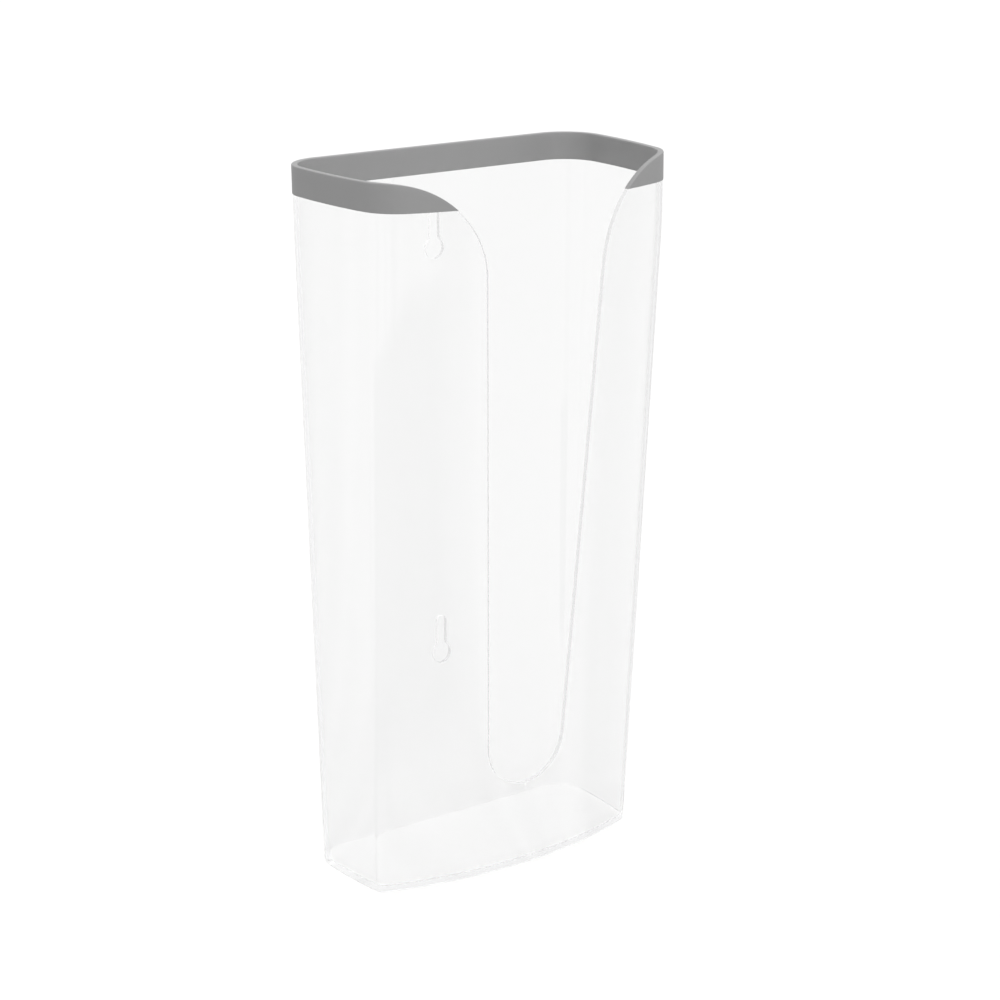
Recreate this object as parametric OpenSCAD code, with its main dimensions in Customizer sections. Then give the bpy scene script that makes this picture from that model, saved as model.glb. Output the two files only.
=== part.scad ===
// Wall-hung dispenser bin: a clear one-piece moulding with a grey band pressed over its rim.
//
// Frame: the origin is the centre of the base underside, +Z is up, and +X is to the right
// when the bin is seen from the front. The front faces -Y and the back faces +Y.
// The back is flat and leans back a little. The sides and the bowed front splay up to a
// straight collar below the rim, and a deep slot in the front opens out into two rounded flaps.

/* [Overall] */
// Height from the base to the rim
height = 336; // [330:1:345]
// Lean of the back away from upright, in degrees
back_lean = 1; // [0:0.25:1.5]
// Thickness of the walls
wall = 2.2; // [2:0.1:2.4]
// Thickness of the floor
floor_t = 2.8; // [2.4:0.2:3.4]
// Height of the straight collar, down from the rim
collar_h = 30; // [24:1:40]
// Half the height over which the splay eases into the collar
collar_ease = 8; // [4:1:10]

/* [Plan at the rim] */
// Depth from the back to the crown of the front
rim_depth = 94.1; // [92:0.1:97]
// Width across the back, where its line would meet the lines of the sides
rim_back_w = 163.9; // [161:0.1:168]
// Width across the front, where its curve would meet the lines of the sides
rim_front_w = 156.5; // [155:0.1:160]
// Rise of the bowed front above its chord
rim_front_bow = 15.3; // [13:0.1:18]
// Rise of each side above its chord
rim_side_bow = 3.1; // [2:0.1:4]
// Radius of the back corners
rim_back_r = 20.3; // [16:0.1:24]
// Radius of the front corners
rim_front_r = 20; // [16:0.1:22]

/* [Plan at the base] */
// Depth from the back to the crown of the front
base_depth = 67.5; // [65:0.1:70]
// Width across the back
base_back_w = 151.1; // [148:0.1:154]
// Width across the front
base_front_w = 145.5; // [144:0.1:150]
// Rise of the bowed front above its chord
base_front_bow = 12.7; // [11:0.1:16]
// Rise of each side above its chord
base_side_bow = 1.5; // [0.8:0.1:2]
// Radius of the back corners
base_back_r = 15.5; // [12:0.1:18]
// Radius of the front corners
base_front_r = 6; // [5:0.1:10]
// Rounding of the edge around the underside
base_edge_r = 1.4; // [1:0.2:2.4]

/* [Slot in the front] */
// Height of the slot's lowest point
slot_z = 44.1; // [40:0.1:60]
// Radius of the slot's round bottom
slot_r = 21.4; // [18:0.1:24]
// Splay of each edge from upright, in degrees
slot_splay = 2.6; // [2:0.1:3]
// Radius of the round corner at the top of each flap
flap_r = 46.3; // [40:0.1:48]

/* [Keyholes in the back] */
// Distance of the lower entry hole from the base, up along the back
keyhole_low = 88; // [70:1:110]
// Distance between the two entry holes
keyhole_pitch = 200; // [180:1:205]
// Diameter of an entry hole, for the screw's head
entry_d = 10; // [9:0.5:11]
// Width of the neck, for the screw's shank
neck_w = 5.4; // [4.6:0.2:5.6]
// Height of the neck's top above the entry hole
neck_rise = 19; // [15:0.5:20]
// Rounding between the entry hole and its neck
shoulder_r = 2.2; // [1:0.2:2.4]

/* [Rim band] */
// Height of the band
band_h = 12.9; // [11:0.1:16]
// How far the band stands proud of each side of the wall
band_proud = 0.3; // [0.2:0.05:0.5]
// Thickness of the band over the top of the wall
bridge_t = 1.2; // [1:0.1:1.6]
// Rounding along the band's top edges
band_edge_r = 0.5; // [0.3:0.1:0.9]
// Thickness of the thin tongue that the band grips
tongue_t = 1.1; // [1:0.1:1.2]
// Gap between the tongue and the band
grip_gap = 0.1; // [0.05:0.05:0.15]
// Closed end of the band beside the slot
band_end_t = 1; // [0.8:0.1:1.4]

/* [Snap lugs under the band] */
// Width of a lug
lug_w = 8; // [6:1:12]
// Height of a lug
lug_h = 2.4; // [2:0.2:3]
// How far a lug stands out of the tongue
lug_proud = 0.35; // [0.2:0.05:0.4]
// Distance of the back lugs from the middle
lug_back_x = 45; // [30:1:55]

/* [Hidden] */
$fn = 96;
inner_edge_r = 1.2;                              // rounding inside, between floor and walls
edge_steps = 4;                                  // facets across a rounded edge
ease_steps = 4;                                  // facets where the splay eases into the collar
front_steps = 10;                                // facets of each arc round half of a plan
front_corner_steps = 6;
side_steps = 4;
back_corner_steps = 8;
lug_share = 0.4;                                 // share of the band's height below the lugs
over = 1;                                        // overshoot of a cutter past a surface
shoulder_z = height - band_h;                    // ledge on which the band's skirts stop
tongue_inset = (wall - tongue_t) / 2;            // outer face of the tongue, in from the wall
tongue_top = height - bridge_t - grip_gap;
skirt_inset = tongue_inset - grip_gap;           // inner face of the band's outer skirt
lug_z = shoulder_z + band_h * lug_share;         // underside of a lug
lug_side_y = -12;                                // middle of the lugs on the sides
collar_z = height - collar_h;                    // where the splay and the collar would meet
bottom_c = slot_z + slot_r;                      // height of the centre of the slot's bottom
flap_z = height - flap_r;                        // height of the centre of a flap's corner
bottom_x = slot_r * cos(slot_splay);             // where the round bottom meets the edge
bottom_z = bottom_c - slot_r * sin(slot_splay);
flap_x = bottom_x + (flap_r + (flap_z - bottom_z) * sin(slot_splay)) / cos(slot_splay);
rim_plan = [rim_depth, rim_back_w / 2, rim_front_w / 2, rim_back_r, rim_front_r,
            rim_front_bow, rim_side_bow];
base_plan = [base_depth, base_back_w / 2, base_front_w / 2, base_back_r, base_front_r,
             base_front_bow, base_side_bow];

// Position of the back plane at a height
function back_y(z) = base_depth / 2 + z * tan(back_lean);

// Heading of a direction in the plan, in degrees
function heading(v) = atan2(v.y, v.x);

// Radius of the arc that rises by bow over a chord of 2 * half
function arc_radius(half, bow) = (half * half + bow * bow) / (2 * bow);

// The point nearest to target where two circles cross
function crossing(c1, r1, c2, r2, target) =
    let (
        gap = norm(c2 - c1),
        along = (r1 * r1 - r2 * r2 + gap * gap) / (2 * gap),
        aside = sqrt(r1 * r1 - along * along),
        u = (c2 - c1) / gap,
        p = c1 + u * along + [-u.y, u.x] * aside,
        q = c1 + u * along - [-u.y, u.x] * aside
    )
    norm(p - target) < norm(q - target) ? p : q;

// Points of an arc from heading a0 up to heading a1, without the last one
function arc_points(c, r, a0, a1, steps) =
    [for (i = [0:steps - 1]) let (a = a0 + (a1 - a0) * i / steps) c + r * [cos(a), sin(a)]];

// Half of a plan, from the crown of the front round to the end of the back line at y = 0.
// It is four arcs that run into each other: front, front corner, side and back corner.
function half_plan(plan, inset) =
    let (
        depth = plan[0],
        back_end = [plan[1], 0],
        front_end = [plan[2], plan[5] - depth],
        back_r = plan[3],
        front_r = plan[4],
        front_R = arc_radius(plan[2], plan[5]),
        front_c = [0, front_R - depth],
        side = back_end - front_end,
        inward = [-side.y, side.x] / norm(side),
        side_R = arc_radius(norm(side) / 2, plan[6]),
        side_c = (front_end + back_end) / 2 + inward * (side_R - plan[6]),
        corner_c = crossing(front_c, front_R - front_r, side_c, side_R - front_r, front_end),
        back_c = [side_c.x + sqrt(pow(side_R - back_r, 2) - pow(back_r + side_c.y, 2)), -back_r],
        a1 = heading(corner_c - front_c),
        a2 = heading(corner_c - side_c),
        a3 = heading(back_c - side_c)
    )
    concat(
        arc_points(front_c, front_R - inset, -90, a1, front_steps),
        arc_points(corner_c, front_r - inset, a1, a2, front_corner_steps),
        arc_points(side_c, side_R - inset, a2, a3, side_steps),
        arc_points(back_c, back_r - inset, a3, 90, back_corner_steps),
        [back_c + [0, back_r - inset]]
    );

// Whole plan, moved in from the outer surface by inset
function plan_points(plan, inset) =
    let (half = half_plan(plan, inset), last = len(half) - 1)
    concat(half, [for (i = [last:-1:1]) [-half[i].x, half[i].y]]);

// How far the plan has turned from the base's into the rim's at a height, from 0 to 1. It
// grows steadily with height, and eases off to stay at 1 in the collar.
function splay_share(z) =
    let (
        foot = collar_z - collar_ease,
        u = max(0, min(1, (z - foot) / (2 * collar_ease)))
    )
    (min(z, foot) + collar_ease * u * (2 - u)) / collar_z;

// Section of the bin at a height, moved in from the outer surface by inset
function ring(z, inset) =
    let (
        base = plan_points(base_plan, inset),
        rim = plan_points(rim_plan, inset),
        t = splay_share(z)
    )
    [for (i = [0:len(base) - 1]) let (p = base[i] * (1 - t) + rim[i] * t) [p.x, p.y + back_y(z), z]];

// Sections where the splay eases into the collar, and the one at the foot of the band
function collar_rings(inset) =
    [for (i = [0:ease_steps]) ring(collar_z + collar_ease * (2 * i / ease_steps - 1), inset),
     ring(shoulder_z, inset)];

// Sections across a rounded edge that turns inwards over radius r, ending at height z_end.
// dir is 1 where the rounding is at the top and -1 where it is at the bottom.
function edge_rings(z_end, inset, r, dir) =
    [for (i = [0:edge_steps])
        let (a = 90 * i / edge_steps, k = dir > 0 ? a : 90 - a)
        ring(z_end - dir * r * (1 - sin(k)), inset + r * (1 - cos(k)))];

// Solid through a stack of sections, lowest first
module loft(rings) {
    n = len(rings[0]);
    top = len(rings) - 1;
    sides = [for (k = [0:top - 1], i = [0:n - 1], half = [0, 1])
        let (j = (i + 1) % n, a = k * n, b = a + n)
        half == 0 ? [a + i, b + i, b + j] : [a + i, b + j, a + j]];
    polyhedron(
        points = [for (r = rings, p = r) p],
        faces = concat(
            sides,
            [[for (i = [0:n - 1]) i]],
            [[for (i = [n - 1:-1:0]) top * n + i]]
        )
    );
}

// Outline of the slot in the plane of X and Z, made wider all round by grow
module slot_profile(grow) {
    edge_x = bottom_x + grow * cos(slot_splay);
    edge_z = bottom_z - grow * sin(slot_splay);
    turn_x = flap_x - (flap_r - grow) * cos(slot_splay);
    turn_z = flap_z + (flap_r - grow) * sin(slot_splay);
    translate([0, bottom_c]) circle(slot_r + grow);
    difference() {
        polygon([
            [-edge_x, edge_z], [edge_x, edge_z], [turn_x, turn_z], [flap_x, flap_z],
            [flap_x, height + over], [-flap_x, height + over], [-flap_x, flap_z], [-turn_x, turn_z]
        ]);
        for (side = [-1, 1])
            translate([side * flap_x, flap_z]) circle(flap_r - grow);
    }
}

// Cutter for the slot, from the middle of the bin out through the front
module slot_cut(grow) {
    rotate([90, 0, 0])
        linear_extrude(rim_depth) slot_profile(grow);
}

// Outline of one keyhole, with its entry hole at the origin
module keyhole_profile() {
    neck = neck_w / 2;
    neck_top = neck_rise - neck;
    blend = [neck + shoulder_r, sqrt(pow(entry_d / 2 + shoulder_r, 2) - pow(neck + shoulder_r, 2))];
    touch = blend * (entry_d / 2) / (entry_d / 2 + shoulder_r);
    circle(d = entry_d);
    translate([-neck, 0]) square([neck_w, neck_top]);
    translate([0, neck_top]) circle(neck);
    for (side = [0, 1])
        mirror([side, 0])
            difference() {
                polygon([[0, 0], touch, blend, [0, blend.y]]);
                translate(blend) circle(shoulder_r);
            }
}

// Cutters for both keyholes, square to the leaning back
module keyhole_cuts() {
    translate([0, base_depth / 2, 0])
        rotate([-back_lean, 0, 0])
            for (rise = [keyhole_low, keyhole_low + keyhole_pitch])
                translate([0, over, rise])
                    rotate([90, 0, 0])
                        linear_extrude(wall + 2 * over) keyhole_profile();
}

// Places of the snap lugs, as blocks that cross the wall, made larger all round by grow
module lug_zones(grow) {
    size = lug_w + 2 * grow;
    for (x = [-lug_back_x, lug_back_x])
        translate([x - size / 2, 0, shoulder_z]) cube([size, rim_depth, band_h]);
    translate([-rim_back_w, lug_side_y - size / 2, shoulder_z])
        cube([2 * rim_back_w, size, band_h]);
}

// One-piece clear moulding: floor, walls, slot, keyholes, and the tongue under the band
module clear_bin() {
    color([0.93, 0.94, 0.95, 0.35])
    difference() {
        union() {
            loft(concat(
                edge_rings(0, 0, base_edge_r, -1),
                collar_rings(0),
                [ring(shoulder_z, tongue_inset), ring(tongue_top, tongue_inset)]
            ));
            intersection() {
                loft([ring(lug_z, tongue_inset - lug_proud), ring(lug_z + lug_h, tongue_inset)]);
                lug_zones(0);
            }
        }
        loft(concat(
            edge_rings(floor_t, wall, inner_edge_r, -1),
            collar_rings(wall),
            [ring(shoulder_z, tongue_inset + tongue_t), ring(height, tongue_inset + tongue_t)]
        ));
        slot_cut(0);
        intersection() {
            slot_cut(band_end_t + grip_gap);
            translate([-rim_back_w, -rim_depth, shoulder_z])
                cube([2 * rim_back_w, rim_depth, band_h]);
        }
        keyhole_cuts();
    }
}

// Grey band of inverted U section, closed where the slot cuts it
module rim_band() {
    color([0.55, 0.56, 0.57])
    difference() {
        loft(concat([ring(shoulder_z, -band_proud)], edge_rings(height, -band_proud, band_edge_r, 1)));
        loft(concat(
            [ring(shoulder_z - over, wall + band_proud)],
            edge_rings(height, wall + band_proud, -band_edge_r, 1),
            [ring(height + over, wall + band_proud - band_edge_r)]
        ));
        difference() {
            union() {
                loft([ring(shoulder_z - over, skirt_inset), ring(height - bridge_t, skirt_inset)]);
                intersection() {
                    loft([
                        ring(lug_z - grip_gap, skirt_inset - lug_proud),
                        ring(lug_z + lug_h, skirt_inset - lug_proud)
                    ]);
                    lug_zones(grip_gap);
                }
            }
            loft([
                ring(shoulder_z - 2 * over, wall - skirt_inset),
                ring(height, wall - skirt_inset)
            ]);
            slot_cut(band_end_t);
        }
        slot_cut(0);
    }
}

clear_bin();
rim_band();
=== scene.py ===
import math

import bmesh
import bpy
import numpy as np
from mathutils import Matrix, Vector


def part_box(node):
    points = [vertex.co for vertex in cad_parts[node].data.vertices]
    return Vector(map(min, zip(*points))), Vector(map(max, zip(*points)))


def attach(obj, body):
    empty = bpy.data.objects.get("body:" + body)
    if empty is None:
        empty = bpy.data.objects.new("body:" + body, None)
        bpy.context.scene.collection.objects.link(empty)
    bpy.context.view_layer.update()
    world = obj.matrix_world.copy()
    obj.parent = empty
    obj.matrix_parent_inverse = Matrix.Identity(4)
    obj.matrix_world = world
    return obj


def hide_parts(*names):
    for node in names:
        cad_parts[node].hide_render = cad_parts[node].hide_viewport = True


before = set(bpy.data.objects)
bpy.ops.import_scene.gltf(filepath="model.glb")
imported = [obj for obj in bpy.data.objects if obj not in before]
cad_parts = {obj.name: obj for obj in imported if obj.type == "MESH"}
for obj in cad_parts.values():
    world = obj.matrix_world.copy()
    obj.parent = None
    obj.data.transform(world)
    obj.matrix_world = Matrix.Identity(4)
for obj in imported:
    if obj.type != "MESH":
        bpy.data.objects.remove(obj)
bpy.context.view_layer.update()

MM = 0.001

# ---------------------------------------------------------------- driving dimensions (mm)
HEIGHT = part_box("rim_band")[1].z / MM            # base to rim
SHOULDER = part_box("rim_band")[0].z / MM          # lower edge of the band
TONGUE_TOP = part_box("clear_bin")[1].z / MM       # top of the tongue inside the band
WALL = 2.2                                       # thickness of the clear walls
FLOOR = 2.8                                      # thickness of the floor
LEAN = math.tan(math.radians(1.0))               # run of the back per unit of height
BASE_DEPTH = 67.5                                # front to back at the base
COLLAR_Z = HEIGHT - 30                           # where splay and straight collar would meet
COLLAR_EASE = 8                                  # half the height of the bend between them

SLOT_Z = 44.1                                    # lowest point of the slot
SLOT_R = 21.4                                    # radius of its round bottom
SPLAY = math.radians(2.6)                        # splay of each of its edges
FLAP_R = 46.3                                    # radius of a flap's top corner

KEYHOLE_LOW = 88.0                               # lower entry hole, up along the back
KEYHOLE_PITCH = 200.0
ENTRY_R = 5.0
NECK = 2.7                                       # half the neck's width
NECK_RISE = 19.0                                 # neck's top above the entry hole's centre
SHOULDER_R = 2.2                                 # rounding between entry hole and neck

TONGUE_INSET = 0.55                              # tongue's faces, in from the wall's outside
TONGUE_IN = 1.65
BAND_PROUD = 0.3                                 # band stands proud of the wall, inside and out
BRIDGE = 1.2                                     # band's thickness over the wall's top
GRIP_GAP = 0.1                                   # gap between tongue and band
END_WALL = 1.0                                   # band's closed end beside the slot
SEAT_GAP = 0.03                                  # hairline under the band's skirts
LEDGE = SHOULDER - SEAT_GAP                      # top of the wall, round the tongue

BASE_EDGE_R = 1.4                                # rounding round the underside
INNER_EDGE_R = 1.2                               # rounding between floor and walls inside
SLOT_EDGE_R = 0.55                               # rounding of the slot's edges
HOLE_EDGE_R = 0.3                                # rounding of the keyholes' edges
BAND_EDGE_R = 0.5                                # rounding along the band's top

# ---------------------------------------------------------------- driving tones and light
LAST_BOUNCE = 3                                  # bounces after which a wall lets a ray out
PLASTIC_TINT = 0.998                             # light a wall keeps of what passes through it
LATE_PASS = 0.935                                # light each face keeps of a ray that is let out, painted shade where a ray has met many faces
BASE_PASS = 0.97                                 # the same at the base, which is lit from below, where it paints the base lighter
BACK_PASS = 0.995                                # and at the back, round the keyholes, where it paints the back lighter
LAMP_PASS = 0.978                                # light each face keeps of the lamps' light
BASE_FADE = (0.008, 0.035)                       # heights from the base's painted lighter share to the walls'
BACK_FADE = (0, 0.025)                           # y from the walls' share to the back's painted lighter one
BAND_TONE = (0.176, 0.193)                       # darkest and palest grey of the band
BAND_ROUGHNESS = (0.42, 0.52)

FLOOR_HALF = 30                                  # metres from the floor's middle to its edge
FLOOR_Z = -0.0004                                # keeps the paper clear of the bin's underside
FLOOR_WHITE = 0.535                              # the floor's paper
FLOOR_SHADE_BEHIND = 0.483                             # painted shade: the paper drawn darker where it is seen through plastic
FLOOR_SHADE_RIGHT = 0.45                               # painted shade, the same for rays turned to the right
TURNED_RIGHT = (-0.72, -0.80)                    # where these rays' incoming x begins and ends
PAINTED_MIRROR_LIGHT, PAINTED_MIRROR_DARK = 0.44, 0.10       # painted reflection: tones of the paper and of a dark card where a wall mirrors them
PAINTED_CARD_WAY = (-0.743, -0.669, 0)                   # the painted dark card's direction and distance
PAINTED_CARD_AWAY = 0.53
PAINTED_CARD_SIDES = (0.58, 0.70)                        # soft edges of its directions and distances
PAINTED_CARD_ENDS = (0.42, 0.28)
PAINTED_STREAKS = (0.75, 1.25)                           # faintest and strongest painted streaks in the reflection

SKY_WHITE = 1.05                                 # brightness of the surroundings to the eye
HORIZON, OVERHEAD = 0.95, 2.1                    # and of the light they give
SHOWN_OVERHEAD = 1.45                            # overhead, as the plastic shows it
SKY_RISE = (0.1, 0.95)                           # heights between which it gets brighter
LEFT_DIM = 0.28                                  # the left's share of the light
LEFT_SIDE = (-0.95, -0.4)                        # where the left's dimness begins and ends
KEY_WAY = (-0.56, -0.79, 0.25)                   # where a broad soft key light stands
KEY_GAIN = 2.0
KEY_SOFT = (0.17, 1)                             # how it fades away from its middle


# ---------------------------------------------------------------- plan outlines
class Plan:
    """Half of a plan outline, walked by w: 0 is the crown of the front, 0 to 1 the bowed
    front, 1 to 2 the front corner, 2 to 3 the bowed side, 3 to 4 the back corner and 4 to 5
    the straight back, which ends at the middle. The back lies on y = 0."""

    def __init__(self, depth, back_x, front_x, back_r, front_r, front_bow, side_bow):
        front_end = np.array([front_x, front_bow - depth])
        back_end = np.array([back_x, 0.0])
        front_big = arc_radius(front_x, front_bow)
        front_c = np.array([0.0, front_big - depth])
        side = back_end - front_end
        length = np.hypot(*side)
        inward = np.array([-side[1], side[0]]) / length
        side_big = arc_radius(length / 2, side_bow)
        side_c = (front_end + back_end) / 2 + inward * (side_big - side_bow)
        corner_c = crossing(front_c, front_big - front_r, side_c, side_big - front_r, front_end)
        across = math.sqrt((side_big - back_r) ** 2 - (back_r + side_c[1]) ** 2)
        back_c = np.array([side_c[0] + across, -back_r])
        turns = [-math.pi / 2, heading(corner_c - front_c), heading(corner_c - side_c),
                 heading(back_c - side_c), math.pi / 2]
        self.arcs = [(front_c, front_big, turns[0], turns[1]),
                     (corner_c, front_r, turns[1], turns[2]),
                     (side_c, side_big, turns[2], turns[3]),
                     (back_c, back_r, turns[3], turns[4])]
        self.back_x = back_c[0]
        self.lengths = [r * (a1 - a0) for _, r, a0, a1 in self.arcs] + [self.back_x]

    def at(self, w, inset):
        """Points at w, moved in from the outline by inset."""
        w, inset = np.broadcast_arrays(np.asarray(w, float), np.asarray(inset, float))
        piece = np.clip(w.astype(int), 0, 4)
        part = w - piece
        xy = np.stack([self.back_x * (1 - part), -inset], -1)
        for k, (c, r, a0, a1) in enumerate(self.arcs):
            m = piece == k
            a = a0 + (a1 - a0) * part[m]
            xy[m] = c + (r - inset[m])[:, None] * np.stack([np.cos(a), np.sin(a)], -1)
        return xy


def arc_radius(half, bow):
    return (half * half + bow * bow) / (2 * bow)


def heading(v):
    return math.atan2(v[1], v[0])


def crossing(c1, r1, c2, r2, target):
    """The point nearest to target where two circles cross."""
    gap = np.hypot(*(c2 - c1))
    along = (r1 * r1 - r2 * r2 + gap * gap) / (2 * gap)
    u = (c2 - c1) / gap
    aside = np.array([-u[1], u[0]]) * math.sqrt(r1 * r1 - along * along)
    crossings = (c1 + u * along + aside, c1 + u * along - aside)
    return min(crossings, key=lambda p: np.hypot(*(p - target)))


RIM_PLAN = Plan(depth=94.1, back_x=81.95, front_x=78.25, back_r=20.3, front_r=20,
                front_bow=15.3, side_bow=3.1)
BASE_PLAN = Plan(depth=BASE_DEPTH, back_x=75.55, front_x=72.75, back_r=15.5, front_r=6,
                 front_bow=12.7, side_bow=1.5)


def back_y(z):
    return BASE_DEPTH / 2 + z * LEAN


def splay_share(z):
    """How far the plan has turned from the base's into the rim's at height z. It grows
    steadily, and eases off to stay at 1 in the collar."""
    foot = COLLAR_Z - COLLAR_EASE
    u = np.clip((z - foot) / (2 * COLLAR_EASE), 0, 1)
    return (np.minimum(z, foot) + COLLAR_EASE * u * (2 - u)) / COLLAR_Z


def on_wall(w, z, inset):
    """Points of the bin's wall at w round the plan and at height z, inset from the outside."""
    w, z, inset = np.broadcast_arrays(*(np.asarray(v, float) for v in (w, z, inset)))
    t = splay_share(z)[..., None]
    xy = BASE_PLAN.at(w, inset) * (1 - t) + RIM_PLAN.at(w, inset) * t
    return np.stack([xy[..., 0], xy[..., 1] + back_y(z), z], -1)


SEARCH_END, HALVINGS = 2.4, 40                   # search for w, which is never far round the side


def w_at_x(x, z, inset):
    """Where round the front of the plan the wall is at x."""
    x, z, inset = np.broadcast_arrays(*(np.asarray(v, float) for v in (x, z, inset)))
    low, high = np.zeros(x.shape), np.full(x.shape, SEARCH_END)
    for _ in range(HALVINGS):
        mid = (low + high) / 2
        left = on_wall(mid, z, inset)[..., 0] < x
        low, high = np.where(left, mid, low), np.where(left, high, mid)
    return np.where(x <= 0, 0.0, (low + high) / 2)


# Distance round half of the plan, at the mean of its lengths at the base and at the rim
MEAN_LENGTHS = (np.array(BASE_PLAN.lengths) + np.array(RIM_PLAN.lengths)) / 2
MARKS = np.concatenate([[0], np.cumsum(MEAN_LENGTHS)])


def run_of(w):
    return np.interp(w, np.arange(6), MARKS)


def w_of(run):
    return np.interp(run, MARKS, np.arange(6))


# ---------------------------------------------------------------- columns round the bin
FRONT_COLS, CORNER_COLS, SIDE_COLS, BACK_CORNER_COLS = 28, 10, 16, 14
BACK_COLS = FRONT_COLS + CORNER_COLS // 2 - BACK_CORNER_COLS // 2
SUPPORT = [0, 0.9, 2.4]                          # close columns beside the slot's edge
BELOW_ROWS, ARC_ROWS, LINE_ROWS, FLAP_ROWS = 10, 18, 72, 16
TONGUE_ROWS, BAND_ROWS, CHANNEL_ROWS = 8, 6, 3
FLAP_COLS, RIM_COLS = 16, 12                     # the band's, on the flap and up to the anchor
EDGE_STEPS, HOLE_STEPS, BASE_STEPS = 4, 3, 5     # steps across a quarter of a rounded edge
ARC_POINTS = 30                                  # points on each small arc of a keyhole


def base_columns():
    """Distances round half of the plan of the columns of the wall's mesh."""
    runs = [SUPPORT[:-1]]
    runs.append(np.linspace(SUPPORT[-1], MARKS[1], FRONT_COLS - len(SUPPORT) + 2)[:-1])
    for k, cols in enumerate((CORNER_COLS, SIDE_COLS, BACK_CORNER_COLS, BACK_COLS), start=1):
        runs.append(np.linspace(MARKS[k], MARKS[k + 1], cols + 1)[:-1])
    return np.concatenate(runs + [[MARKS[5]]])


COLUMNS = base_columns()
CORNER_MID = FRONT_COLS + CORNER_COLS // 2       # column in the middle of the front corner
BACK_MID = CORNER_MID + CORNER_COLS // 2 + SIDE_COLS + BACK_CORNER_COLS // 2
ANCHOR_SHARE = 0.4                               # of the side's length, from its front
ANCHOR = MARKS[2] + ANCHOR_SHARE * (MARKS[3] - MARKS[2])  # beyond it columns keep their places

# Part of the back that is meshed round each keyhole, and the places of its rings
KEYHOLES = [KEYHOLE_LOW, KEYHOLE_LOW + KEYHOLE_PITCH]
PATCH_BELOW, PATCH_ABOVE, PATCH_HALF = 14, 9, 15
PATCH_SHARES = np.array([0, 0.04, 0.14, 0.32, 0.55, 0.78, 1])[:, None, None]


def columns_from(w_start):
    """w of every column in rows that start at w_start, closed up in front of the anchor."""
    start = run_of(w_start)[..., None]
    closed = start + (ANCHOR - start) * COLUMNS / ANCHOR
    return w_of(np.where(COLUMNS < ANCHOR, closed, COLUMNS))


# ---------------------------------------------------------------- outline of the slot
SLOT_C = SLOT_Z + SLOT_R
FLAP_Z = HEIGHT - FLAP_R
LINE_X, LINE_Z = SLOT_R * math.cos(SPLAY), SLOT_C - SLOT_R * math.sin(SPLAY)
FLAP_X = LINE_X + (FLAP_R + (FLAP_Z - LINE_Z) * math.sin(SPLAY)) / math.cos(SPLAY)


def flap_angle(z, grow):
    """Angle round a flap's corner, from level, at which its edge reaches height z."""
    return np.arcsin((z - FLAP_Z) / (FLAP_R - grow))


def flap_edge(angle, grow):
    r = FLAP_R - grow
    return FLAP_X - r * np.cos(angle), FLAP_Z + r * np.sin(angle)


def slot_edge(s, grow, top):
    """x and z of the slot's edge, moved into the wall by grow. s from 0 to 1 is the round
    bottom, 1 to 2 the straight edge, and 2 to 3 the flap's corner up to height top."""
    s, grow = np.broadcast_arrays(np.asarray(s, float), np.asarray(grow, float))
    a = np.clip(s, 0, 1) * (math.pi / 2 - SPLAY)
    x = (SLOT_R + grow) * np.sin(a)
    z = SLOT_C - (SLOT_R + grow) * np.cos(a)
    turn_x, turn_z = flap_edge(SPLAY, grow)
    line = np.clip(s - 1, 0, 1)
    x = np.where(s > 1, x + (turn_x - x) * line, x)
    z = np.where(s > 1, z + (turn_z - z) * line, z)
    b = SPLAY + (flap_angle(top, grow) - SPLAY) * np.clip(s - 2, 0, 1)
    bend_x, bend_z = flap_edge(b, grow)
    return np.where(s > 2, bend_x, x), np.where(s > 2, bend_z, z)


def rounded_lip(r, inset0, inset1, steps):
    """(grow, inset) across an edge that is rounded by r on both of its sides."""
    a = np.linspace(0, math.pi / 2, steps + 1)
    first = np.stack([r * (1 - np.sin(a)), inset0 + r * (1 - np.cos(a))], -1)
    second = np.stack([r * (1 - np.sin(a)), inset1 - r * (1 - np.cos(a))], -1)[::-1]
    return np.concatenate([first, second])


# ---------------------------------------------------------------- meshes
WELD = 1e-6                                      # metres within which points are made one
SHARP = math.radians(32)                         # edges that turn by more are drawn sharp


class HalfMesh:
    """Patches of the right half of a piece, made into one closed mirrored mesh."""

    def __init__(self):
        self.points, self.faces = [], []

    def grid(self, p, skip=None):
        """Quads over an array of points; skip says which cells to leave out."""
        rows, cols = p.shape[:2]
        first = len(self.points)
        self.points.extend(p.reshape(-1, 3).tolist())
        for r in range(rows - 1):
            for c in range(cols - 1):
                if skip is None or not skip(r, c):
                    a = first + r * cols + c
                    self.faces.append((a, a + 1, a + cols + 1, a + cols))

    def object(self, name):
        mesh = bpy.data.meshes.new(name)
        mesh.from_pydata([Vector(p) * MM for p in self.points], [], self.faces)
        bm = bmesh.new()
        bm.from_mesh(mesh)
        bmesh.ops.remove_doubles(bm, verts=bm.verts, dist=WELD)
        bmesh.ops.dissolve_degenerate(bm, edges=bm.edges, dist=WELD)
        for v in bm.verts:
            if abs(v.co.x) < 2 * WELD:
                v.co.x = 0
        middle = [f for f in bm.faces if all(v.co.x == 0 for v in f.verts)]
        bmesh.ops.delete(bm, geom=middle, context="FACES")
        everything = bm.verts[:] + bm.edges[:] + bm.faces[:]
        bmesh.ops.mirror(bm, geom=everything, axis="X", merge_dist=WELD)
        bmesh.ops.remove_doubles(bm, verts=bm.verts, dist=WELD)
        bmesh.ops.recalc_face_normals(bm, faces=bm.faces)
        loose = [v for v in bm.verts if not v.link_faces]
        bmesh.ops.delete(bm, geom=loose, context="VERTS")
        bm.to_mesh(mesh)
        bm.free()
        mesh.shade_smooth()
        mesh.set_sharp_from_angle(angle=SHARP)
        obj = bpy.data.objects.new(name, mesh)
        bpy.context.scene.collection.objects.link(obj)
        return obj


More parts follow.
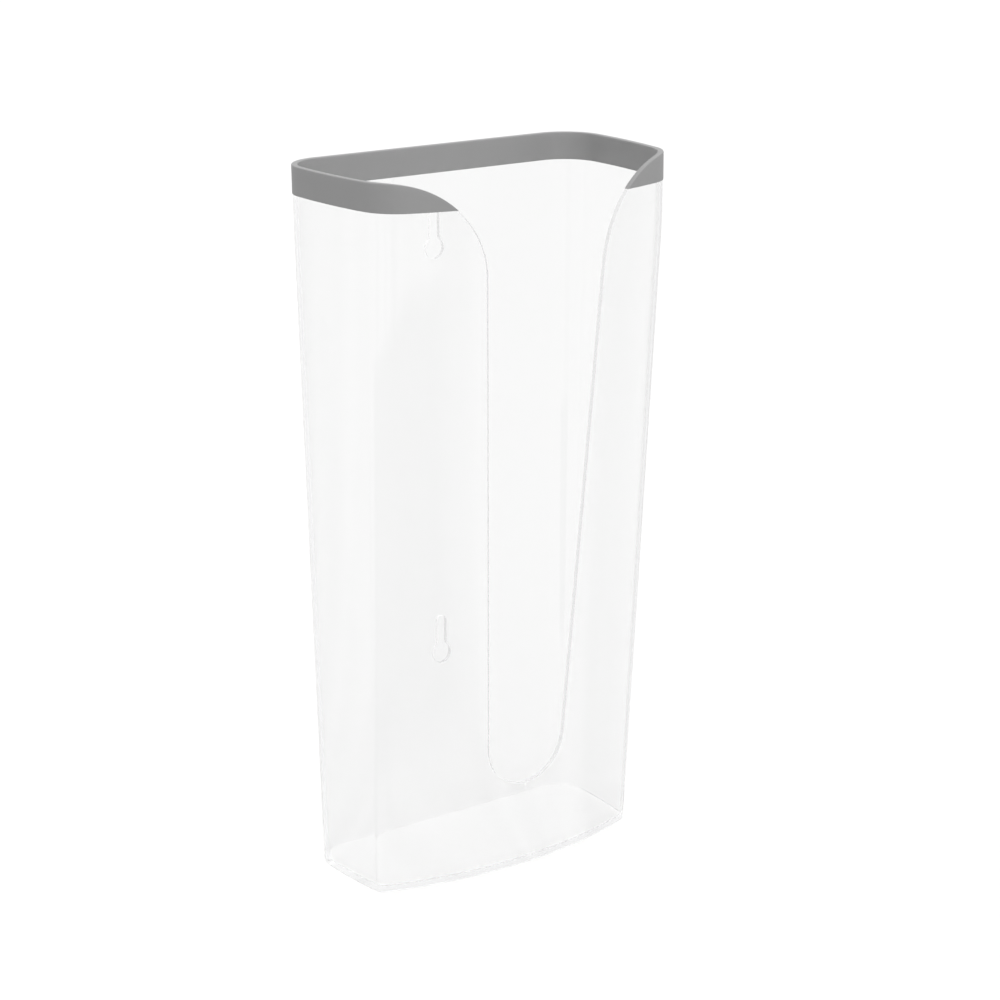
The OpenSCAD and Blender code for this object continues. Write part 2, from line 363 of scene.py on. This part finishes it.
def coons(front, right, back, left):
    """Grid of points that fills four border curves, which share their end points."""
    u = np.linspace(0, 1, len(front))[None, :, None]
    v = np.linspace(0, 1, len(left))[:, None, None]
    ruled = front[None] * (1 - v) + back[None] * v + left[:, None] * (1 - u) + right[:, None] * u
    corners = (front[0] * (1 - u) * (1 - v) + front[-1] * u * (1 - v)
               + back[0] * (1 - u) * v + back[-1] * u * v)
    return ruled - corners


def half_disc(ring):
    """Fills a flat half outline, given at every column, with quads."""
    front = ring[:CORNER_MID + 1]
    right = ring[CORNER_MID:BACK_MID + 1]
    back = ring[BACK_MID:][::-1]
    left = np.linspace(ring[0], ring[-1], len(right))
    return coons(front, right, back, left)


def keyhole_outline(count, grow):
    """Right half of a keyhole, bottom to top, from the entry hole's centre, grown by grow."""
    cx = NECK + SHOULDER_R
    cz = math.sqrt((ENTRY_R + SHOULDER_R) ** 2 - cx ** 2)
    touch = math.atan2(cz, cx)
    top = NECK_RISE - NECK
    a = np.linspace(-math.pi / 2, touch, 2 * ARC_POINTS)
    entry = np.stack([np.cos(a), np.sin(a)], -1) * (ENTRY_R + grow)
    b = np.linspace(touch + math.pi, math.pi, ARC_POINTS)
    shoulder = np.array([cx, cz]) + np.stack([np.cos(b), np.sin(b)], -1) * (SHOULDER_R - grow)
    c = np.linspace(0, math.pi / 2, ARC_POINTS)
    cap = np.array([0, top]) + np.stack([np.cos(c), np.sin(c)], -1) * (NECK + grow)
    path = np.concatenate([entry, shoulder[1:], cap])
    run = np.concatenate([[0], np.cumsum(np.hypot(*np.diff(path, axis=0).T))])
    s = np.linspace(0, run[-1], count)
    out = np.stack([np.interp(s, run, path[:, 0]), np.interp(s, run, path[:, 1])], -1)
    out[[0, -1], 0] = 0
    return out


def wall_rows(z_bottom):
    """Rows of the wall, bottom to top: shares of the height below the slot, places s on the
    slot's edge above that, and every row's height at the middle of the back."""
    below = np.linspace(0, 1, BELOW_ROWS + 1)[:-1]
    arc = np.linspace(0, 1, ARC_ROWS + 1)[:-1]
    line = 1 + np.linspace(0, 1, LINE_ROWS + 1)[:-1]
    flap = 2 + np.linspace(0, 1, FLAP_ROWS + 1)
    s = np.concatenate([arc, line, flap])
    count = len(below) + len(s)
    back_z = z_bottom + (LEDGE - z_bottom) * np.linspace(0, 1, count)
    return below, s, back_z


def wall_face(inset, z_bottom):
    """Points of the wall's outer or inner face, from z_bottom to the ledge under the band."""
    below, s, back_z = wall_rows(z_bottom)
    edge_x, edge_z = slot_edge(s, SLOT_EDGE_R, LEDGE)
    start_x = np.concatenate([np.zeros(len(below)), edge_x])
    start_z = np.concatenate([z_bottom + (edge_z[0] - z_bottom) * below, edge_z])
    w = columns_from(w_at_x(start_x, start_z, inset))
    blend = np.clip(COLUMNS / ANCHOR, 0, 1)
    z = start_z[:, None] + (back_z - start_z)[:, None] * blend
    return on_wall(w, z, inset)


def cell_block(face, low):
    """Rows and the first column of the cells of the back that a keyhole's patch replaces."""
    z, x = face[:, -1, 2], face[len(face) // 2, :, 0]
    lo = int(np.argmin(abs(z - low + PATCH_BELOW)))
    hi = int(np.argmin(abs(z - low - NECK_RISE - PATCH_ABOVE)))
    behind = np.arange(len(x)) > BACK_MID
    return lo, hi, int(np.argmin(np.where(behind, abs(x - PATCH_HALF), np.inf)))


def patch_border(face, block):
    lo, hi, col = block
    return np.concatenate([face[lo, col:][::-1], face[lo + 1:hi, col], face[hi, col:]])


def keyhole_ring(count, grow, low, inset):
    """One keyhole's outline on the leaning back at an inset, with count points on its right
    half. The entry hole's centre is low up the back."""
    x, rise = keyhole_outline(count, grow).T
    lean = math.atan(LEAN)
    z = (low + rise) * math.cos(lean) + inset * math.sin(lean)
    return np.stack([x, back_y(z) - inset, z], -1)


def add_walls(m, faces):
    """Both faces of the walls, with the keyholes set into the back."""
    blocks = [(low, cell_block(faces[0], low)) for low in KEYHOLES]
    for face, inset in zip(faces, (0, WALL)):
        m.grid(face, lambda r, c: any(lo <= r < hi and c >= col for _, (lo, hi, col) in blocks))
        for low, block in blocks:
            border = patch_border(face, block)
            hole = keyhole_ring(len(border), HOLE_EDGE_R, low, inset)
            m.grid(hole * (1 - PATCH_SHARES) + border * PATCH_SHARES)
    for low, block in blocks:
        count = len(patch_border(faces[0], block))
        edge = rounded_lip(HOLE_EDGE_R, 0, WALL, HOLE_STEPS)
        m.grid(np.array([keyhole_ring(count, g, low, d) for g, d in edge]))


def add_slot_edge(m):
    """Rounded edge of the slot. Returns its points."""
    _, s, _ = wall_rows(BASE_EDGE_R)
    lip = []
    for grow, inset in rounded_lip(SLOT_EDGE_R, 0, WALL, EDGE_STEPS):
        x, z = slot_edge(s, grow, LEDGE)
        lip.append(on_wall(w_at_x(x, z, inset), z, inset))
    lip = np.array(lip)
    m.grid(lip)
    return lip


def add_tongue(m, faces, lip):
    """Tongue inside the band, and the ledge round it that joins it to the wall."""
    grow = END_WALL + GRIP_GAP
    angle = np.linspace(flap_angle(LEDGE, grow), flap_angle(TONGUE_TOP, grow), TONGUE_ROWS + 1)
    edge_x, edge_z = flap_edge(angle, grow)
    skins = []
    for inset in (TONGUE_INSET, TONGUE_IN):
        w = columns_from(w_at_x(edge_x, edge_z, inset))
        skins.append(on_wall(w, edge_z[:, None], inset))
        m.grid(skins[-1])
    skins = np.array(skins)
    m.grid(skins[:, :, 0])
    m.grid(skins[:, -1])
    for face, skin in zip(faces, skins):
        m.grid(np.array([face[-1], skin[0]]))
    ends = np.repeat(skins[:, 0, 0], len(lip) // 2, axis=0)
    m.grid(np.array([lip[:, -1], ends]))


def add_floor(m):
    """Rounded lower edges, outside and inside, and the flat faces that they end in."""
    w = w_of(COLUMNS)
    quarter = np.linspace(0, math.pi / 2, BASE_STEPS + 1)
    for z, inset, r in ((0, 0, BASE_EDGE_R), (FLOOR, WALL, INNER_EDGE_R)):
        bend = [on_wall(w, z + r * (1 - math.sin(a)), inset + r * (1 - math.cos(a)))
                for a in quarter]
        m.grid(np.array(bend))
        m.grid(half_disc(bend[-1]))


def build_clear_bin():
    m = HalfMesh()
    faces = [wall_face(0, BASE_EDGE_R), wall_face(WALL, FLOOR + INNER_EDGE_R)]
    add_walls(m, faces)
    lip = add_slot_edge(m)
    add_tongue(m, faces, lip)
    add_floor(m)
    return m.object("clear_bin_shell")


# The band has an inverted U section. Its columns run from the tip beside the slot up the
# flap's corner, then round the rim to the middle of the back.
CHANNEL_COL = 2                                  # column where the tongue's channel starts


def flap_shares():
    """Places of the band's columns round the flap's corner, with one where the channel starts."""
    channel_x, _ = flap_edge(flap_angle(SHOULDER, END_WALL), END_WALL)
    first = flap_angle(SHOULDER, BAND_EDGE_R)
    channel = math.acos((FLAP_X - channel_x) / (FLAP_R - BAND_EDGE_R))
    start = (channel - first) / (math.pi / 2 - first)
    return np.concatenate([[0, start / 2], np.linspace(start, 1, FLAP_COLS + 1)])


def rim_points(z, inset):
    """The rest of a row, from just past the flap to the middle of the back."""
    begin = run_of(w_at_x(FLAP_X, z, inset))
    closed = begin + (ANCHOR - begin) * np.linspace(0, 1, RIM_COLS + 1)[1:-1]
    runs = np.concatenate([closed, [ANCHOR], COLUMNS[COLUMNS >= ANCHOR][1:]])
    return on_wall(w_of(runs), z, inset)


def edge_row(shares, grow, inset):
    """Row along the band's top, moved down and in from its edge by grow."""
    low = flap_angle(SHOULDER, grow)
    x, z = flap_edge(low + (math.pi / 2 - low) * shares, grow)
    bend = on_wall(w_at_x(x, z, inset), z, inset)
    return np.concatenate([bend, rim_points(HEIGHT - grow, inset)])


def level_row(x, part, inset, flap_tops, rim_top):
    """Row at a part of the height between the band's lower edge and its tops."""
    z = SHOULDER + (flap_tops - SHOULDER) * part
    bend = on_wall(w_at_x(x, z, inset), z, inset)
    return np.concatenate([bend, rim_points(SHOULDER + (rim_top - SHOULDER) * part, inset)])


def add_channel(m, x, skirt):
    """Inside of the band, where the tongue goes."""
    reach = np.sqrt(np.maximum((FLAP_R - END_WALL) ** 2 - (FLAP_X - x) ** 2, 0))
    roof = np.clip(FLAP_Z + reach, SHOULDER, HEIGHT - BRIDGE)
    parts = np.linspace(0, 1, CHANNEL_ROWS + 1)
    sides = []
    for inset in (skirt, WALL - skirt):
        side = np.array([level_row(x, p, inset, roof, HEIGHT - BRIDGE) for p in parts])
        m.grid(side[:, CHANNEL_COL:])
        sides.append(side)
    m.grid(np.array([sides[0][-1], sides[1][-1]])[:, CHANNEL_COL:])


def build_rim_band():
    m = HalfMesh()
    lip = rounded_lip(BAND_EDGE_R, -BAND_PROUD, WALL + BAND_PROUD, EDGE_STEPS)
    half = len(lip) // 2
    skirt = TONGUE_INSET - GRIP_GAP
    stations = np.concatenate([lip[:half], [[0, skirt], [0, WALL - skirt]], lip[half:]])
    shares = flap_shares()
    edge = np.array([edge_row(shares, g, d) for g, d in stations])
    m.grid(edge)

    # outer and inner faces
    x, z_top = edge[0, :len(shares), 0], edge[0, :len(shares), 2]
    rim_top = HEIGHT - BAND_EDGE_R
    parts = np.linspace(0, 1, BAND_ROWS + 1)
    for inset in (stations[0, 1], stations[-1, 1]):
        m.grid(np.array([level_row(x, p, inset, z_top, rim_top) for p in parts]))
    add_channel(m, x, skirt)

    # lower edges of the skirts, and the solid tip between them
    under = np.array([level_row(x, 0, d, z_top, rim_top) for _, d in stations])
    tip = edge[:, 0]
    under = np.concatenate([tip[:, None], under], axis=1)
    m.grid(under[:half + 1])
    m.grid(under[half + 1:])
    m.grid(under[half:half + 2, :CHANNEL_COL + 2])
    return m.object("rim_band_trim")


# ---------------------------------------------------------------- materials
class Shading:
    """Node tree of a new material or world. Each call adds a node and returns one of its
    outputs. An input's value is a number, a colour or another node's output."""

    def __init__(self, owner):
        owner.use_nodes = True
        self.tree = owner.node_tree
        self.tree.nodes.clear()

    def add(self, kind, inputs, settings):
        made = self.tree.nodes.new("ShaderNode" + kind)
        for name, value in settings.items():
            setattr(made, name, value)
        for name, value in inputs.items():
            if isinstance(value, bpy.types.NodeSocket):
                self.tree.links.new(value, made.inputs[name])
            else:
                made.inputs[name].default_value = value
        return made

    def node(self, kind, inputs, output=0, **settings):
        return self.add(kind, inputs, settings).outputs[output]

    def end(self, kind, inputs):
        self.add(kind, inputs, {})

    def math(self, operation, *values):
        return self.node("Math", dict(enumerate(values)), operation=operation)

    def ramp(self, value, span, start, end, curve="LINEAR"):
        """Goes from start to end as value crosses the span."""
        inputs = {"Value": value, "From Min": span[0], "From Max": span[1],
                  "To Min": start, "To Max": end}
        return self.node("MapRange", inputs, "Result", interpolation_type=curve)

    def axis(self, vector, name):
        return self.node("SeparateXYZ", {0: vector}, name)

    def ray(self, name):
        return self.node("LightPath", {}, name)

    def mix(self, share, first, second):
        return self.node("MixShader", {0: share, 1: first, 2: second})


def grey(tone):
    return tone, tone, tone, 1


def clear_plastic():
    """Clear styrene with faint flow waves. Lamps shine through it, and a ray that has bounced
    many times inside a wall leaves it, so that long ways along a wall don't turn black. The tone
    such a ray keeps is painted: shade where it met many faces, light at the base and the back."""
    mat = bpy.data.materials.new("clear_plastic")
    tree = Shading(mat)
    place = tree.node("TexCoord", {}, "Object")
    stretched = tree.node("Mapping", {"Vector": place, "Scale": (1, 1, 0.35)})
    waves = tree.node("TexNoise", {"Vector": stretched, "Scale": 22, "Detail": 1.5}, "Fac")
    bump = tree.node("Bump", {"Height": waves, "Strength": 0.12, "Distance": 0.0004})
    shell = tree.node("BsdfPrincipled", {
        "Base Color": grey(PLASTIC_TINT), "Roughness": 0.02, "IOR": 1.57,
        "Transmission Weight": 1, "Normal": bump})

    # painted light and shade: a let-out ray keeps more at the base and the back, which draws them
    # lighter, and less elsewhere
    base = tree.ramp(tree.axis(place, "Z"), BASE_FADE, BASE_PASS, LATE_PASS)
    back = tree.ramp(tree.axis(place, "Y"), BACK_FADE, LATE_PASS, BACK_PASS)
    let_out_painted_tone = tree.math("MAXIMUM", base, back)
    lamp = tree.math("MAXIMUM", tree.ray("Is Shadow Ray"), tree.ray("Is Diffuse Ray"))
    late = tree.math("GREATER_THAN", tree.ray("Ray Depth"), LAST_BOUNCE)
    through = tree.node("BsdfTransparent", {"Color": tree.ramp(lamp, (0, 1), let_out_painted_tone, LAMP_PASS)})
    surface = tree.mix(tree.math("MAXIMUM", lamp, late), shell, through)
    depth = tree.node("VolumeAbsorption", {"Color": (0.40, 0.42, 0.43, 1), "Density": 1.5})
    tree.end("OutputMaterial", {"Surface": surface, "Volume": depth})
    return mat


def grey_plastic():
    """Satin grey with a fine moulded grain and slight unevenness of gloss."""
    mat = bpy.data.materials.new("grey_plastic")
    tree = Shading(mat)
    place = tree.node("TexCoord", {}, "Object")
    grain = tree.node("TexNoise", {"Vector": place, "Scale": 2600, "Detail": 3}, "Fac")
    cloud = tree.node("TexNoise", {"Vector": place, "Scale": 35}, "Fac")
    bump = tree.node("Bump", {"Height": grain, "Strength": 0.25, "Distance": 0.00005})
    skin = tree.node("BsdfPrincipled", {
        "Base Color": tree.ramp(cloud, (0, 1), *BAND_TONE),
        "Roughness": tree.ramp(cloud, (0, 1), *BAND_ROUGHNESS), "IOR": 1.5, "Normal": bump})
    tree.end("OutputMaterial", {"Surface": skin})
    return mat


def painted_reflection_tone(tree):
    """Painted reflection of the floor in the plastic's outside: soft painted streaks, and a dark
    card that is only painted and spans a range of directions and of distances."""
    place = tree.node("TexCoord", {}, "Object")
    way = tree.node("VectorMath", {0: place}, operation="NORMALIZE")
    noise = tree.node("TexNoise", {"Vector": way, "Scale": 5, "Detail": 1}, "Fac")
    streaks = tree.ramp(noise, (0.35, 0.65), *PAINTED_STREAKS)
    # a dark card that is only painted into the reflection
    toward = tree.node("VectorMath", {0: way, 1: PAINTED_CARD_WAY}, "Value", operation="DOT_PRODUCT")
    across = tree.ramp(toward, PAINTED_CARD_SIDES, 0, 1, "SMOOTHSTEP")
    away = tree.node("VectorMath", {0: place}, "Value", operation="LENGTH")
    off_middle = tree.math("ABSOLUTE", tree.math("SUBTRACT", away, PAINTED_CARD_AWAY))
    along = tree.ramp(off_middle, PAINTED_CARD_ENDS, 0, 1, "SMOOTHSTEP")
    card = tree.math("MULTIPLY", across, along)
    tone = tree.ramp(card, (0, 1), PAINTED_MIRROR_LIGHT, PAINTED_MIRROR_DARK)
    return tree.math("MULTIPLY", tone, streaks)


def pale_floor():
    """White paper. Seen through the plastic it is painted a little dimmer, as painted shade, and
    rays that come straight from a first reflection see a painted reflection of streaks and a dark
    card."""
    mat = bpy.data.materials.new("pale_floor")
    tree = Shading(mat)
    incoming = tree.axis(tree.node("NewGeometry", {}, "Incoming"), "X")
    # painted shade: paper seen through the plastic is drawn darker, and darker still for rays
    # turned right
    painted_dimming = tree.ramp(incoming, TURNED_RIGHT, FLOOR_SHADE_BEHIND, FLOOR_SHADE_RIGHT)
    paper = tree.node("BsdfDiffuse", {"Color": grey(FLOOR_WHITE)})
    behind = tree.node("BsdfDiffuse", {"Color": painted_dimming})
    # painted reflection: rays from a first reflection see painted streaks and a painted dark card
    mirrored = tree.node("BsdfDiffuse", {"Color": painted_reflection_tone(tree)})
    in_plastic = tree.ray("Is Glossy Ray")
    reflected = tree.math("MULTIPLY", in_plastic, tree.ray("Is Reflection Ray"))
    first = tree.math("LESS_THAN", tree.ray("Ray Depth"), 2)
    plain = tree.mix(in_plastic, paper, behind)
    seen = tree.mix(tree.math("MULTIPLY", reflected, first), plain, mirrored)
    tree.end("OutputMaterial", {"Surface": seen})
    return mat


# ---------------------------------------------------------------- stage, light and camera
def build_floor():
    mesh = bpy.data.meshes.new("floor")
    square = ((-1, -1), (1, -1), (1, 1), (-1, 1))
    corners = [(x * FLOOR_HALF, y * FLOOR_HALF, FLOOR_Z) for x, y in square]
    mesh.from_pydata(corners, [], [(0, 1, 2, 3)])
    floor = bpy.data.objects.new("floor", mesh)
    bpy.context.scene.collection.objects.link(floor)
    floor.data.materials.append(pale_floor())


def build_world():
    """Soft surroundings, whose light is brightest overhead and towards the key light, and dim
    on the left. They look plain white to the eye, and the plastic shows them evenly lit."""
    world = bpy.data.worlds.new("studio")
    tree = Shading(world)
    way = tree.node("TexCoord", {}, "Generated")
    height = tree.axis(way, "Z")
    sky = tree.ramp(height, SKY_RISE, HORIZON, OVERHEAD, "SMOOTHSTEP")
    left = tree.ramp(tree.axis(way, "X"), LEFT_SIDE, LEFT_DIM, 1, "SMOOTHSTEP")
    toward = tree.node("VectorMath", {0: way, 1: KEY_WAY}, "Value", operation="DOT_PRODUCT")
    key = tree.ramp(toward, KEY_SOFT, 1, KEY_GAIN, "SMOOTHSTEP")
    strength = tree.math("MULTIPLY", sky, tree.math("MULTIPLY", left, key))
    light = tree.node("Background", {"Color": grey(1), "Strength": strength})

    to_eye = tree.ray("Is Camera Ray")
    in_plastic = tree.ramp(height, SKY_RISE, HORIZON, SHOWN_OVERHEAD, "SMOOTHSTEP")
    tone = tree.ramp(to_eye, (0, 1), in_plastic, SKY_WHITE)
    shown = tree.node("Background", {"Color": grey(1), "Strength": tone})
    looked_at = tree.math("MAXIMUM", to_eye, tree.ray("Is Glossy Ray"))
    tree.end("OutputWorld", {"Surface": tree.mix(looked_at, light, shown)})
    bpy.context.scene.world = world


def build_camera():
    azimuth, elevation = math.radians(-35.73), math.radians(16.96)
    distance = 1.1475
    target = Vector((-0.0007, -0.0167, 0.1782))
    level = math.cos(elevation)
    back = Vector((math.sin(azimuth) * level, -math.cos(azimuth) * level, math.sin(elevation)))
    lens = bpy.data.cameras.new("camera")
    lens.sensor_width = 36
    lens.lens = 89.21
    camera = bpy.data.objects.new("camera", lens)
    camera.location = target + back * distance
    camera.rotation_euler = back.to_track_quat("Z", "Y").to_euler()
    bpy.context.scene.collection.objects.link(camera)
    bpy.context.scene.camera = camera


def add_piece(obj, node, material):
    obj.data.materials.append(material)
    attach(obj, "root")
    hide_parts(node)


add_piece(build_clear_bin(), "clear_bin", clear_plastic())
add_piece(build_rim_band(), "rim_band", grey_plastic())
build_floor()
build_world()
build_camera()
bpy.context.scene.view_settings.view_transform = "Standard"
